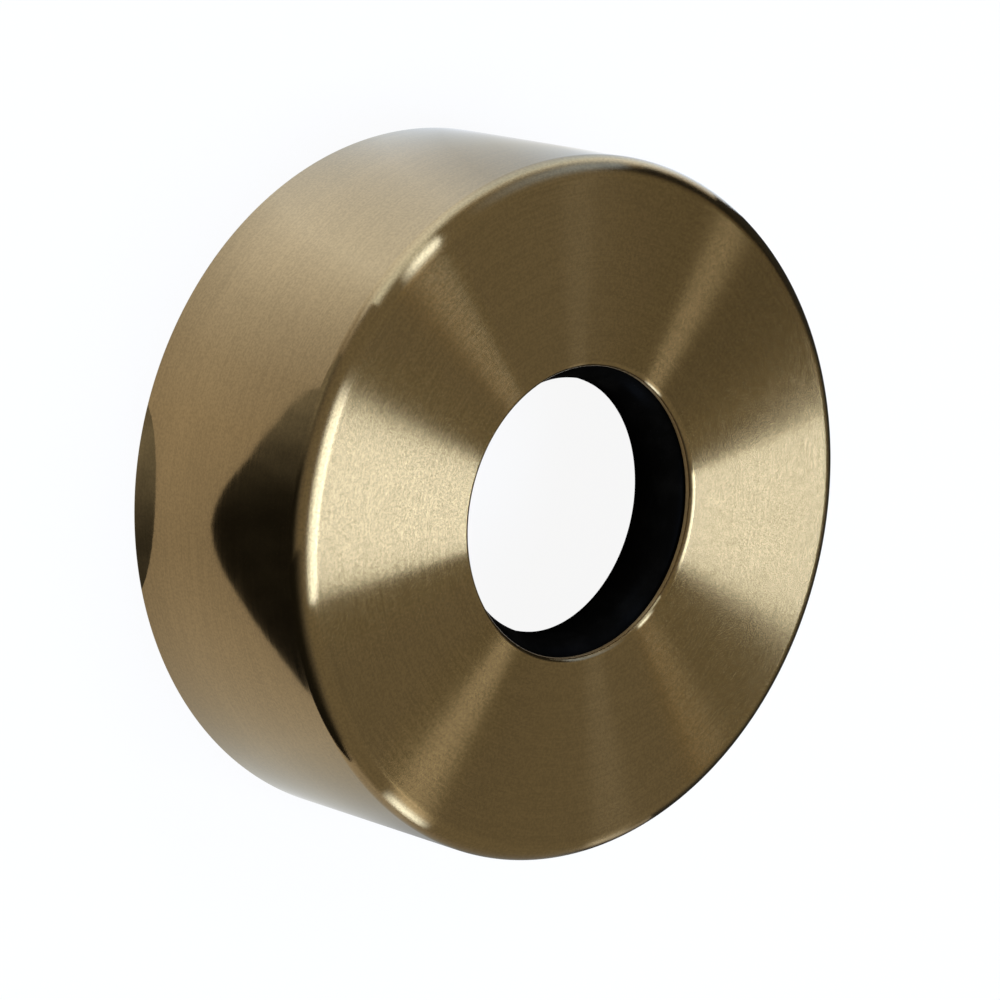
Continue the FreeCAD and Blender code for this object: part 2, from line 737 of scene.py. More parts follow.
@dataclass(frozen=True)
class HandlingHaze:
    """The faint uneven film that handling and storage leave on any surface.

    Attributes:
        name: The group's name.
    """

    name: str = "handling haze"

    def group(self) -> bpy.types.NodeTree:
        """Return the group, which is made on its first use.

        Returns:
            A group with the inputs Patch Size and Amount, in millimetres and 0 to 1, and the output Mask.
        """
        made = bpy.data.node_groups.get(self.name)
        if made is not None:
            return made
        tree, graph = new_group(self.name, {"Patch Size": 6.0, "Amount": 0.5}, {"Mask": "Float"})
        given = graph.add("NodeGroupInput")
        place = graph.place()
        scale = graph.math("DIVIDE", MM_PER_METRE, given.outputs["Patch Size"])
        cloud = graph.noise(place, scale, detail=4.0, roughness=0.6)
        mask = graph.math("MULTIPLY", graph.ramp(cloud, 0.42, 0.72), given.outputs["Amount"])
        graph.add("NodeGroupOutput", {"Mask": mask})
        return tree

    def mask(self, graph: Graph, patch_size: float, amount: float) -> Socket:
        """Return the haze's mask in a material.

        Args:
            graph: The material's graph.
            patch_size: Size of its patches, in millimetres.
            amount: Its strength, from 0 to 1.

        Returns:
            The mask.
        """
        inputs = {"Patch Size": patch_size, "Amount": amount}
        return graph.add("ShaderNodeGroup", inputs, node_tree=self.group()).outputs["Mask"]


@dataclass(frozen=True)
class BrushedZone:
    """How one zone of the cover is brushed.

    Attributes:
        roughness: Roughness between the scratches.
        slope: Steepest slope of the finest scratches.
        streak_slope: Slope of the wider streaks.
    """

    roughness: float
    slope: float
    streak_slope: float


@dataclass(frozen=True)
class AntiqueBrass:
    """Brushed antique brass.

    Attributes:
        name: The material's name.
        colour: The metal's own colour.
        deep_colour: The colour where the patina is deeper.
        face: The face, whose brushing is the coarsest.
        corner: The drawn corner, and the rounding of the hole.
        skirt: The skirt.
        corner_wear_and_painted_glow: How much brighter the corner's colour is, partly real wear and partly
            a painted highlight for the glow it reflects.
        inside: The inside of the cup, which is plated but not brushed.
        edge_colour: How strongly it mirrors at a glancing angle.
        streak_width: Width of the wider streaks, in millimetres.
        arcs_round: How often a streak changes on its way round.
        grain_size: Size of the grain in the patina, in millimetres.
        grain_share: Share of that grain in the patina, next to the streaks.
        unevenness: Most that the streaks add to the roughness or take from it.
        haze_size: Size of the haze's patches, in millimetres.
        haze_amount: Strength of the haze.
        haze_share: How far the haze deepens the colour.
        into_corner: From where to where the face's brushing gives way to the corner's, in
            millimetres out from the corner's start.
        into_hole: The same for the hole's rounding, in millimetres out from that rounding's end.
        into_skirt: The same from corner to skirt, in millimetres up from the corner's end.
        half_change: Half of the depth over which the outside gives way to the inside, in millimetres.
    """

    name: str = "brushed antique brass"
    colour: Colour = (0.274, 0.180, 0.078)
    deep_colour: Colour = (0.216, 0.142, 0.0615)
    face: BrushedZone = BrushedZone(0.13, 0.34, 0.016)
    corner: BrushedZone = BrushedZone(0.12, 0.13, 0.012)
    skirt: BrushedZone = BrushedZone(0.045, 0.002, 0.003)
    corner_wear_and_painted_glow: float = 1.08
    inside: BrushedZone = BrushedZone(0.34, 0.02, 0.01)
    edge_colour: Colour = (0.80, 0.83, 0.80)
    streak_width: float = 0.12
    arcs_round: float = 4.0
    grain_size: float = 0.18
    grain_share: float = 0.6
    unevenness: float = 0.01
    haze_size: float = 7.0
    haze_amount: float = 0.5
    haze_share: float = 0.3
    into_corner: tuple = (-0.15, 0.45)
    into_hole: tuple = (0.05, -0.10)
    into_skirt: tuple = (1.15, -0.3)
    half_change: float = 0.05

    def material(self, cover: Cover) -> bpy.types.Material:
        """Return the finish.

        Args:
            cover: The cover, whose sizes say where the face, the corner and the inside are.

        Returns:
            The material.
        """
        made, graph = new_finish(self.name)
        place = graph.place()
        parts = graph.parts(place)
        radius = graph.math("MULTIPLY", graph.length(graph.vector(parts[0], parts[1], 0.0)), MM_PER_METRE)
        height = graph.math("MULTIPLY", parts[2], MM_PER_METRE)

        corner_start = cover.radius - cover.outside_corner
        corner_end = cover.depth - cover.outside_corner
        hole_end = cover.hole_radius + cover.hole_front
        off_face = graph.math(
            "MAXIMUM",
            graph.ramp(radius, *(corner_start + out for out in self.into_corner)),
            graph.ramp(radius, *(hole_end + out for out in self.into_hole)),
        )
        down_skirt = graph.ramp(height, *(corner_end + up for up in self.into_skirt))
        out = graph.math("MAXIMUM", graph.math("SUBTRACT", radius, corner_start), 0.0)
        up = graph.math("MAXIMUM", graph.math("SUBTRACT", height, corner_end), 0.0)
        from_bend = graph.length(graph.vector(out, up, 0.0))
        half_way = cover.inside_corner + cover.sheet / 2
        inner = graph.ramp(from_bend, half_way + self.half_change, half_way - self.half_change)

        def by_zone(face: float, corner: float, skirt: float, inside: float) -> Socket:
            """Return a value that changes from zone to zone."""
            outside = graph.blend(down_skirt, graph.blend(off_face, face, corner), skirt)
            return graph.blend(inner, outside, inside)

        zones = (self.face, self.corner, self.skirt, self.inside)
        brushing = graph.add(
            "ShaderNodeGroup",
            {
                "Slope": by_zone(*(zone.slope for zone in zones)),
                "Streak Slope": by_zone(*(zone.streak_slope for zone in zones)),
                "Streak Width": self.streak_width,
                "Arcs Round": self.arcs_round,
            },
            node_tree=ConcentricBrushing().group(),
        )
        haze = HandlingHaze().mask(graph, self.haze_size, self.haze_amount)
        uneven = graph.ramp(brushing.outputs["Tone"], 0.3, 0.7, -self.unevenness, self.unevenness)
        rough = by_zone(*(zone.roughness for zone in zones))

        grain = graph.noise(place, MM_PER_METRE / self.grain_size, detail=1.5)
        tone = graph.blend(self.grain_share, brushing.outputs["Tone"], grain)
        patina = graph.mix(graph.ramp(tone, 0.35, 0.65), self.deep_colour, self.colour)
        patina = graph.mix(graph.math("MULTIPLY", haze, self.haze_share), patina, self.deep_colour)
        # The corner's colour is made brighter: partly real wear from rubbing, partly a painted highlight
        # that stands in for the glow the corner reflects.
        corner_wear_and_painted_glow = graph.scaled(patina, by_zone(1.0, self.corner_wear_and_painted_glow, 1.0, 1.0))

        shader = graph.add(
            "ShaderNodeBsdfPrincipled",
            {
                "Base Color": corner_wear_and_painted_glow,
                "Metallic": 1.0,
                "Roughness": graph.math("ADD", rough, uneven),
                "Anisotropic": 1.0,
                "Anisotropic Rotation": 0.25,
                "Tangent": graph.add("ShaderNodeTangent", direction_type="RADIAL", axis="Z").outputs[0],
                "Specular Tint": (*self.edge_colour, 1.0),
                "Normal": brushing.outputs["Normal"],
            },
        )
        graph.show(shader)
        return made


@dataclass(frozen=True)
class SatinRubber:
    """Moulded black rubber with a satin skin.

    Attributes:
        name: The material's name.
        colour: The rubber's colour.
        bloom_colour: The colour of the faint bloom on it.
        roughness: Roughness of the clean skin.
        grain: Depth of the mould's grain.
        grain_count: Number of grains in a metre.
        haze_size: Size of the bloom's patches, in millimetres.
        haze_amount: Strength of the bloom.
        sheen: Strength of the sheen near the face.
        sheen_start: Height at which the sheen starts, in millimetres.
        sheen_full: Height from which on it is full, in millimetres.
    """

    name: str = "moulded black rubber"
    colour: Colour = (0.0018, 0.0015, 0.0011)
    bloom_colour: Colour = (0.0050, 0.0042, 0.0032)
    roughness: float = 0.36
    grain: float = 8.0e-6
    grain_count: float = 6000.0
    haze_size: float = 2.5
    haze_amount: float = 0.6
    sheen: float = 0.02
    sheen_start: float = 16.6
    sheen_full: float = 18.0

    def material(self) -> bpy.types.Material:
        """Build the finish.

        Returns:
            The material.
        """
        made, graph = new_finish(self.name)
        haze = HandlingHaze().mask(graph, self.haze_size, self.haze_amount)
        place = graph.place()
        height = graph.math("MULTIPLY", graph.parts(place)[2], MM_PER_METRE)
        grain = graph.noise(place, self.grain_count)
        colour = graph.mix(haze, self.colour, self.bloom_colour)
        rough = graph.ramp(haze, 0.0, 1.0, self.roughness, self.roughness + 0.15)
        bump = graph.add("ShaderNodeBump", {"Strength": 1.0, "Distance": self.grain, "Height": grain})
        shader = graph.add(
            "ShaderNodeBsdfPrincipled",
            {
                "Base Color": colour,
                "Roughness": rough,
                "Specular IOR Level": 0.0,
                "Coat Weight": graph.ramp(height, self.sheen_start, self.sheen_full, 0.0, self.sheen),
                "Coat Roughness": 0.30,
                "Coat Tint": (1.0, 0.95, 0.9, 1.0),
                "Normal": bump.outputs[0],
            },
        )
        graph.show(shader)
        return made


@dataclass(frozen=True)
class PressedSteel:
    """Bare pressed steel with drawing marks.

    Attributes:
        name: The material's name.
        colour: The steel's colour.
        oiled_colour: The colour where a film of oil is left.
        roughness: Roughness of the sheet.
        mark_slope: Slope of the drawing marks.
        mark_width: Width of the wider marks, in millimetres.
        arcs_round: How often a mark changes on its way round.
        film_size: Size of the oil film's patches, in millimetres.
    """

    name: str = "pressed steel"
    colour: Colour = (0.5, 0.5, 0.49)
    oiled_colour: Colour = (0.33, 0.32, 0.30)
    roughness: float = 0.32
    mark_slope: float = 0.04
    mark_width: float = 0.3
    arcs_round: float = 5.0
    film_size: float = 5.0

    def material(self) -> bpy.types.Material:
        """Build the finish.

        Returns:
            The material.
        """
        made, graph = new_finish(self.name)
        brushing = graph.add(
            "ShaderNodeGroup",
            {
                "Slope": self.mark_slope,
                "Streak Slope": self.mark_slope,
                "Streak Width": self.mark_width,
                "Arcs Round": self.arcs_round,
            },
            node_tree=ConcentricBrushing().group(),
        )
        colour = graph.mix(HandlingHaze().mask(graph, self.film_size, 1.0), self.colour, self.oiled_colour)
        rough = graph.ramp(brushing.outputs["Tone"], 0.3, 0.7, self.roughness - 0.06, self.roughness + 0.08)
        shader = graph.add(
            "ShaderNodeBsdfPrincipled",
            {
                "Base Color": colour,
                "Metallic": 1.0,
                "Roughness": rough,
                "Anisotropic": 0.4,
                "Anisotropic Rotation": 0.25,
                "Tangent": graph.add("ShaderNodeTangent", direction_type="RADIAL", axis="Z").outputs[0],
                "Normal": brushing.outputs["Normal"],
            },
        )
        graph.show(shader)
        return made


def staged_mesh(name: str, vertices: list, faces: list, layers: dict | None = None) -> bpy.types.Mesh:
    """Return a mesh for the studio.

    Args:
        name: The mesh's name.
        vertices: Its vertices.
        faces: Its faces.
        layers: Layers of numbers by name, with a number for each vertex.

    Returns:
        The mesh.
    """
    mesh = bpy.data.meshes.new(name)
    mesh.from_pydata(vertices, [], faces)
    for layer_name, values in (layers or {}).items():
        layer = mesh.attributes.new(layer_name, "FLOAT", "POINT")
        layer.data.foreach_set("value", np.asarray(values, dtype=np.float32).ravel())
    return mesh


def on_circle(radius: float, angle: float, height: float) -> tuple:
    """Return the place at a radius and an angle about the axis, at a height."""
    return (radius * math.cos(angle), radius * math.sin(angle), height)


def sheet_faces(columns: int, rows: int) -> list:
    """Return the faces of a sheet whose vertices go up each column, from the first to the last.

    Args:
        columns: Number of faces across it.
        rows: Number of faces up it.

    Returns:
        The faces.
    """
    faces = []
    for column in range(columns):
        for row in range(rows):
            first = column * (rows + 1) + row
            faces.append((first, first + 1, first + rows + 2, first + rows + 1))
    return faces


def ring_faces(rings: int, steps: int, start: int = 0) -> list:
    """Return the faces between closed rings of vertices.

    Args:
        rings: Number of rings.
        steps: Number of vertices in each.
        start: Number of the first ring's first vertex.

    Returns:
        The faces.
    """
    faces = []
    for ring in range(rings - 1):
        first = start + ring * steps
        for step in range(steps):
            after = (step + 1) % steps
            faces.append((first + step, first + steps + step, first + steps + after, first + after))
    return faces


@dataclass(frozen=True)
class PaleFloor:
    """The plain pale floor, which shows near white and keeps a faint shadow.

    Attributes:
        name: The material's name.
        colour: The floor's colour.
        shown: How bright the floor's own light is, where 1 is white.
        matt_share: Share of the plain matt floor, which takes the shadow.
    """

    name: str = "pale floor"
    colour: Colour = (0.9, 0.9, 0.9)
    shown: float = 1.0
    matt_share: float = 0.08

    def material(self) -> bpy.types.Material:
        """Build the finish.

        Returns:
            The material.
        """
        made, graph = new_finish(self.name)
        path = graph.add("ShaderNodeLightPath").outputs
        seen = graph.math("MAXIMUM", path["Is Camera Ray"], path["Is Glossy Ray"])
        seen = graph.math("MAXIMUM", seen, path["Is Transmission Ray"])
        share = graph.math("MULTIPLY", seen, 1.0 - self.matt_share)
        matt = graph.add("ShaderNodeBsdfDiffuse", {"Color": (*self.colour, 1.0)})
        graph.show(graph.blend_shaders(share, matt, graph.glow((1.0, 1.0, 1.0), self.shown)))
        return made


@dataclass(frozen=True)
class CurvedLamp:
    """A curved lamp, laid out by what it lights on the rosette.

    Turned brushing draws each lamp out into a streak that points at the axis, and the rounded corner
    mirrors the lamp itself. The lamp's sides are the azimuths of that streak, and its ends are the
    tilts of the corner that mirror it.

    Attributes:
        name: The lamp's name.
        sides: Azimuths across the streak, in degrees, each with the lamp's share of brightness there.
        ends: Tilts of the corner that mirror it, in degrees, each with its share.
        radiance: Its full brightness, where 1 shows as white.
        colour: Its colour.
        distance: Its distance from the middle of the face.
    """

    name: str
    sides: tuple
    ends: tuple
    radiance: float
    colour: Colour = DAYLIGHT
    distance: float = 2.25

    def mesh(self, centre: Vector, view: Vector) -> bpy.types.Mesh:
        """Return the lamp's sheet, with its share of brightness as a layer of numbers.

        Args:
            centre: The middle of the rosette's face.
            view: Direction from there to the camera.

        Returns:
            The mesh.
        """
        azimuths, side_shares = self.spread(self.sides)
        tilts, end_shares = self.spread(self.ends)
        vertices = []
        for azimuth in np.radians(azimuths):
            for tilt in np.radians(tilts):
                mirror = Vector(on_circle(math.sin(tilt), azimuth, math.cos(tilt)))
                away = mirror * (2 * view.dot(mirror)) - view
                vertices.append(centre + away * self.distance)
        faces = sheet_faces(len(azimuths) - 1, len(tilts) - 1)
        return staged_mesh(self.name, vertices, faces, {"share": np.outer(side_shares, end_shares)})

    @staticmethod
    def spread(stops: tuple, step: float = 1.0) -> tuple[np.ndarray, np.ndarray]:
        """Return evenly spaced angles from the first stop to the last, with the share at each.

        Args:
            stops: Angles with their shares.
            step: Widest gap between angles, in degrees.

        Returns:
            The angles and their shares.
        """
        given = [stop[0] for stop in stops]
        count = math.ceil((given[-1] - given[0]) / step) + 1
        angles = np.union1d(np.linspace(given[0], given[-1], count), given)
        return angles, np.interp(angles, given, [stop[1] for stop in stops])

    def material(self) -> bpy.types.Material:
        """Build the lamp's own finish, which turns clear towards its soft sides.

        Returns:
            The material.
        """
        made, graph = new_finish(self.name)
        clear = graph.add("ShaderNodeBsdfTransparent")
        glow = graph.glow(self.colour, self.radiance)
        graph.show(graph.blend_shaders(graph.layer("share"), clear, glow))
        return made


@dataclass(frozen=True)
class DarkBoard:
    """A dark board that only polished metal shows, as a studio uses to draw edges in it.

    Attributes:
        name: The board's name.
        corners: Its corners, as X, Y and Z.
        left: Its brightness where X is at or under left_x, and near the rosette.
        right: Its brightness where X is at or over right_x, and near the rosette.
        far: Its brightness far from the rosette.
        left_x: X at which the change across it starts.
        right_x: X at which that change ends.
        fade_start: Distance from the axis at which it starts to change towards the far brightness.
        fade_end: Distance at which that change ends.
        mottling: Share by which patches of it are brighter or darker.
        patch_count: Number of such patches in a metre.
        colour: Its colour.
    """

    name: str
    corners: tuple
    left: float = 0.02
    right: float = 0.02
    far: float = 0.02
    left_x: float = -0.010
    right_x: float = 0.012
    fade_start: float = 0.045
    fade_end: float = 0.17
    mottling: float = 0.15
    patch_count: float = 300.0
    colour: Colour = (0.9, 0.97, 1.0)

    def mesh(self) -> bpy.types.Mesh:
        """Return the board, which is one face."""
        return staged_mesh(self.name, list(self.corners), [tuple(range(len(self.corners)))])

    def material(self) -> bpy.types.Material:
        """Build the board's finish, dark and a little mottled.

        Returns:
            The material.
        """
        made, graph = new_finish(self.name)
        place = graph.place()
        near = graph.ramp(graph.parts(place)[0], self.left_x, self.right_x, self.left, self.right)
        clouds = graph.noise(place, self.patch_count)
        patches = graph.ramp(clouds, 0.3, 0.7, 1.0 - self.mottling, 1.0 + self.mottling)
        near = graph.math("MULTIPLY", near, patches)
        away = graph.ramp(graph.length(place), self.fade_start, self.fade_end)
        graph.show(graph.glow(self.colour, graph.blend(away, near, self.far)))
        return made


def flat_corners(*places_mm: tuple[float, float], lift: float = BOARD_LIFT) -> tuple:
    """Return corners that lie just over the floor.

    Args:
        *places_mm: X and Y of each corner, in millimetres.
        lift: Their height above the floor.

    Returns:
        The corners, as X, Y and Z.
    """
    return tuple((x * MM, y * MM, lift) for x, y in places_mm)


def oval_board(azimuth: float, distance: float, half_depth: float, half_width: float) -> tuple:
    """Return the corners of an oval board that lies on the floor.

    Args:
        azimuth: Direction from the axis to the board, in degrees.
        distance: Distance of its centre from the axis.
        half_depth: Half of its size along that direction.
        half_width: Half of its size across it.

    Returns:
        The corners round the oval.
    """
    out = Vector(on_circle(1.0, math.radians(azimuth), 0.0))
    side = Vector((-out.y, out.x, 0.0))
    steps = 32
    corners = []
    for step in range(steps):
        angle = 2 * math.pi * step / steps
        place = out * (distance + half_depth * math.cos(angle)) + side * half_width * math.sin(angle)
        corners.append((place.x, place.y, BOARD_LIFT))
    return tuple(corners)


@dataclass(frozen=True)
class FloorRay:
    """How bright the floor is in one direction from the axis, as polished metal shows it.

    Attributes:
        azimuth: The direction, in degrees.
        near: White light close to the rosette, where 1 shows as white.
        far: White light far from it.
        near_daylight: Daylight from the window close to the rosette.
        far_daylight: Daylight far from it.
    """

    azimuth: float
    near: float
    far: float
    near_daylight: float = 0.0
    far_daylight: float = 0.0


@dataclass(frozen=True)
class FloorCard:
    """A card that lies on the floor and carries its light and shade, which only polished metal shows.

    Attributes:
        rays: Brightness by direction, in order of azimuth and once round.
        start: Radius of its inner edge, which the cover's rim hides.
        contact_share: Share of the brightness that is left at the rim.
        contact_end: Radius at which the rim's shade ends.
        near_end: Radius at which the near brightness starts to change.
        far_start: Radius from which on the far brightness holds.
        end: Radius of its outer edge.
        lift: Its height above the floor.
        step: Degrees between its vertices.
        name: The card's name.
    """

    rays: tuple
    start: float = 0.0250
    contact_share: float = 0.86
    contact_end: float = 0.0290
    near_end: float = 0.0295
    far_start: float = 0.062
    end: float = 2.36
    lift: float = 0.00005
    step: float = 2.0
    name: str = "floor card"

    def mesh(self) -> bpy.types.Mesh:
        """Lay the card out as rings round the rosette.

        Returns:
            The mesh, with its brightness as two layers of numbers.
        """
        azimuths = [ray.azimuth for ray in self.rays]
        around = np.arange(-180.0, 180.0, self.step)
        near, far, near_daylight, far_daylight = (
            np.interp(around, azimuths, [getattr(ray, part) for ray in self.rays], period=360.0)
            for part in ("near", "far", "near_daylight", "far_daylight")
        )
        rings = (
            (self.start, near * self.contact_share, near_daylight * self.contact_share),
            (self.contact_end, near, near_daylight),
            (self.near_end, near, near_daylight),
            (self.far_start, far, far_daylight),
            (self.end, far, far_daylight),
        )
        vertices = []
        for radius, _, _ in rings:
            vertices += [on_circle(radius, angle, self.lift) for angle in np.radians(around)]
        layers = {
            "white": np.concatenate([white for _, white, _ in rings]),
            "daylight": np.concatenate([daylight for _, _, daylight in rings]),
        }
        return staged_mesh(self.name, vertices, ring_faces(len(rings), len(around)), layers)

    def material(self) -> bpy.types.Material:
        """Build the card's finish: white light and daylight, each by its own layer.

        Returns:
            The material.
        """
        made, graph = new_finish(self.name)
        white = graph.scaled((1.0, 1.0, 1.0), graph.layer("white"))
        daylight = graph.scaled(DAYLIGHT, graph.layer("daylight"))
        graph.show(graph.glow(graph.vector_math("ADD", white, daylight), 1.0))
        return made


@dataclass(frozen=True)
class SideWall:
    """A stretch of wall far round the rosette, which only polished metal shows.

    Attributes:
        name: The wall's name.
        tops: Azimuths along it, in degrees, each with the wall's height there.
        low: Brightness at the floor.
        high: Brightness at the top.
        colour: Its colour.
        radius: Its distance from the axis.
        rows: Number of faces from the floor to its top.
        step: Widest gap between its columns, in degrees.
    """

    name: str
    tops: tuple
    low: float
    high: float
    colour: Colour
    radius: float = 2.35
    rows: int = 6
    step: float = 3.0

    def mesh(self) -> bpy.types.Mesh:
        """Lay the wall out along its azimuths.

        Returns:
            The mesh, with its brightness as a layer of numbers.
        """
        azimuths, tops = CurvedLamp.spread(self.tops, self.step)
        shares = np.linspace(0.0, 1.0, self.rows + 1)
        vertices = []
        for azimuth, top in zip(np.radians(azimuths), tops):
            vertices += [on_circle(self.radius, azimuth, top * share) for share in shares]
        light = np.tile(self.low + (self.high - self.low) * shares, len(azimuths))
        return staged_mesh(self.name, vertices, sheet_faces(len(azimuths) - 1, self.rows), {"light": light})

    def material(self) -> bpy.types.Material:
        """Build the wall's finish.

        Returns:
            The material.
        """
        made, graph = new_finish(self.name)
        graph.show(graph.glow(self.colour, graph.layer("light")))
        return made


@dataclass(frozen=True)
class Studio:
    """Floor, backdrop, lamps, walls and boards round the rosette.

    Attributes:
        floor_radius: Radius of the floor, whose edge rises as a low backdrop.
        backdrop_height: Height of that backdrop.
        bend: Radius of the curve from the floor to the backdrop.
        lamps: The lamps.
        card: The card that carries the floor's light and shade.
        walls: The walls that polished metal shows instead of the backdrop.
        boards: The dark boards.
    """

    floor_radius: float = 2.6
    backdrop_height: float = 0.45
    bend: float = 0.2
    lamps: tuple = (
        CurvedLamp(
            "main panel",
            (
                (-105.0, 0.0), (-102.0, 0.07), (-99.5, 0.5), (-97.0, 0.86), (-93.0, 1.0), (-64.6, 1.0),
                (-63.8, 0.0),
            ),
            ((2.5, 1.0), (8.0, 1.0), (10.5, 0.44), (28.0, 0.47), (31.5, 0.42), (34.0, 0.0)),
            19.4,
            distance=6.0,
        ),
        CurvedLamp(
            "upper left lamp",
            ((-131.0, 0.0), (-129.8, 1.0), (-125.0, 1.0), (-120.5, 0.0)),
            (
                (11.0, 0.0), (15.0, 0.10), (18.0, 0.27), (24.0, 0.57), (30.0, 0.90), (36.0, 1.0),
                (39.0, 0.85), (43.0, 0.45), (47.0, 0.10), (51.0, 0.0),
            ),
            9.2,
            distance=3.0,
        ),
        CurvedLamp(
            "upper left glow",
            ((-131.0, 0.0), (-129.8, 1.0), (-125.0, 1.0), (-120.5, 0.0)),
            ((3.5, 0.0), (5.5, 1.0), (12.0, 1.0), (15.0, 0.6), (18.0, 0.0)),
            0.85,
            (1.0, 0.80, 0.42),
            distance=3.0,
        ),
        CurvedLamp(
            "lower left lamp",
            ((-27.5, 0.0), (-24.5, 0.8), (-21.5, 1.0), (-18.5, 0.8), (-15.5, 0.0)),
            (
                (30.0, 0.0), (33.0, 0.20), (36.5, 0.58), (39.5, 0.90), (42.0, 1.0), (53.0, 1.0),
                (57.0, 0.85), (61.0, 0.50), (64.0, 0.18), (66.0, 0.0),
            ),
            9.2,
        ),
        CurvedLamp(
            "lower left glow",
            ((-27.0, 0.0), (-24.0, 0.75), (-21.0, 1.0), (-18.0, 0.75), (-15.0, 0.0)),
            ((3.5, 0.0), (5.0, 1.0), (9.0, 0.8), (12.0, 0.48), (18.0, 0.50), (26.0, 0.53), (35.0, 0.53)),
            3.4,
            (0.80, 0.88, 1.0),
            distance=2.2,
        ),
        CurvedLamp(
            "pale strip",
            ((-173.0, 0.0), (-169.5, 1.0), (-161.0, 0.9), (-152.0, 0.55), (-142.0, 0.18), (-137.0, 0.0)),
            (
                (18.0, 0.0), (24.0, 0.25), (29.0, 0.70), (33.0, 1.0), (38.0, 1.0), (42.0, 0.6), (50.0, 0.5),
                (52.0, 0.0),
            ),
            2.4,
            (0.34, 0.52, 1.0),
        ),
        CurvedLamp(
            "small lamp",
            ((17.0, 0.0), (20.0, 1.0), (25.0, 1.0), (28.0, 0.0)),
            ((2.0, 0.0), (4.0, 0.2), (25.0, 0.2), (30.0, 1.0), (36.0, 1.0)),
            2.2,
            (0.75, 0.85, 1.0),
        ),
    )
    card: FloorCard = FloorCard(
        (
            FloorRay(-178.0, 0.98, 0.10, 0.12, 2.9),
            FloorRay(-168.0, 1.00, 0.15, 0.40, 3.0),
            FloorRay(-156.0, 1.15, 0.45, 1.10, 3.3),
            FloorRay(-144.0, 1.02, 0.65, 1.50, 3.1),
            FloorRay(-132.0, 1.04, 0.70, 2.05, 2.3),
            FloorRay(-122.0, 1.00, 0.70, 1.50, 0.4),
            FloorRay(-114.0, 0.93, 0.60, 0.95, 0.1),
            FloorRay(-102.0, 0.94, 0.45, 0.38),
            FloorRay(-90.0, 1.00, 0.45, 0.08),
            FloorRay(-66.0, 0.82, 0.45),
            FloorRay(-46.0, 0.95, 0.50, 0.05),
            FloorRay(-20.0, 1.05, 1.00, 0.05),
            FloorRay(-3.0, 0.90, 0.70, 0.0, 0.2),
            FloorRay(6.0, 0.74, 0.75, 0.0, 0.3),
            FloorRay(14.0, 0.52, 0.65),
            FloorRay(24.0, 0.31, 0.50),
            FloorRay(44.0, 0.36, 0.40),
            FloorRay(64.0, 1.0, 1.0),
            FloorRay(120.0, 1.0, 1.0, 0.0, 0.5),
            FloorRay(148.0, 1.2, 0.70, 0.0, 2.9),
            FloorRay(156.0, 1.2, 0.60, 0.0, 2.9),
            FloorRay(168.0, 0.96, 0.05, 0.0, 3.3),
        )
    )
    walls: tuple = (
        SideWall(
            "window wall",
            (
                (137.0, 0.08), (148.0, 0.20), (160.0, 0.19), (173.0, 0.15), (187.0, 0.12), (196.0, 0.16),
                (202.0, 0.45), (205.0, 1.15), (226.0, 1.40), (229.0, 0.10),
            ),
            3.0,
            3.5,
            (0.56, 0.72, 1.0),
        ),
        SideWall("front wall", ((-131.0, 0.6), (-62.0, 0.6)), 0.30, 0.45, (1.0, 1.0, 0.95)),
        SideWall("dark wall", ((-62.0, 1.6), (-24.0, 1.6), (-8.0, 0.5)), 0.03, 0.40, (0.95, 1.0, 1.0)),
        SideWall("right wall", ((-8.0, 0.6), (95.0, 0.6)), 1.0, 1.0, ROOM_LIGHT),
    )
    boards: tuple = (
        DarkBoard(
            "near cloth",
            flat_corners(
                (-250.0, -560.0), (-45.0, -100.0), (-13.0, -42.5), (-7.7, -39.0), (-1.8, -37.9),
                (3.3, -36.1), (5.5, -34.7), (7.5, -33.3), (9.4, -32.1), (11.3, -31.1), (13.4, -30.4),
                (15.7, -29.8), (18.4, -29.2), (21.2, -28.3), (24.0, -27.1), (26.7, -25.6), (29.3, -23.7),
                (31.7, -21.4), (40.0, -40.0), (300.0, -560.0),
            ),
            left=0.60,
            right=0.035,
            far=0.24,
            left_x=-0.014,
            right_x=0.011,
        ),
        DarkBoard(
            "right cloth",
            flat_corners(
                (20.0, -40.0), (24.0, -27.1), (26.7, -25.6), (29.3, -23.7), (31.7, -21.4), (36.5, -17.5),
                (43.0, -15.0), (53.0, -14.5), (72.0, -14.0), (134.0, -17.0), (1900.0, -250.0),
                (1500.0, -1000.0), (800.0, -1500.0),
                lift=0.0002,
            ),
            left=0.03,
            right=0.03,
            far=0.04,
        ),
        # A dark oval on the floor by the rim, which polished metal shows: painted shade that stands in for
        # the floor's shadow beside the rim.
        DarkBoard(
            "rim painted shade",
            oval_board(-75.0, 0.0233, 0.0046, 0.0074),
            left=0.50,
            right=0.13,
            left_x=0.003,
            right_x=0.011,
        ),
        DarkBoard(
            "far board",
            flat_corners((-24.0, 25.0), (24.0, 25.0), (75.0, 75.0), (-75.0, 75.0)),
            left=0.06,
            right=0.06,
            far=0.10,
        ),
        DarkBoard(
            "standing board",
            ((-0.075, 0.075, 0.0), (0.045, 0.075, 0.0), (0.045, 0.075, 0.034), (-0.075, 0.075, 0.034)),
            left=0.06,
            right=0.06,
            far=0.10,
        ),
        DarkBoard(
            "back board",
            ((-0.281, 0.204, 0.048), (-0.09, 0.336, 0.048), (-0.09, 0.336, 0.27), (-0.281, 0.204, 0.27)),
            left=0.05,
            right=0.05,
            far=0.05,
        ),
    )

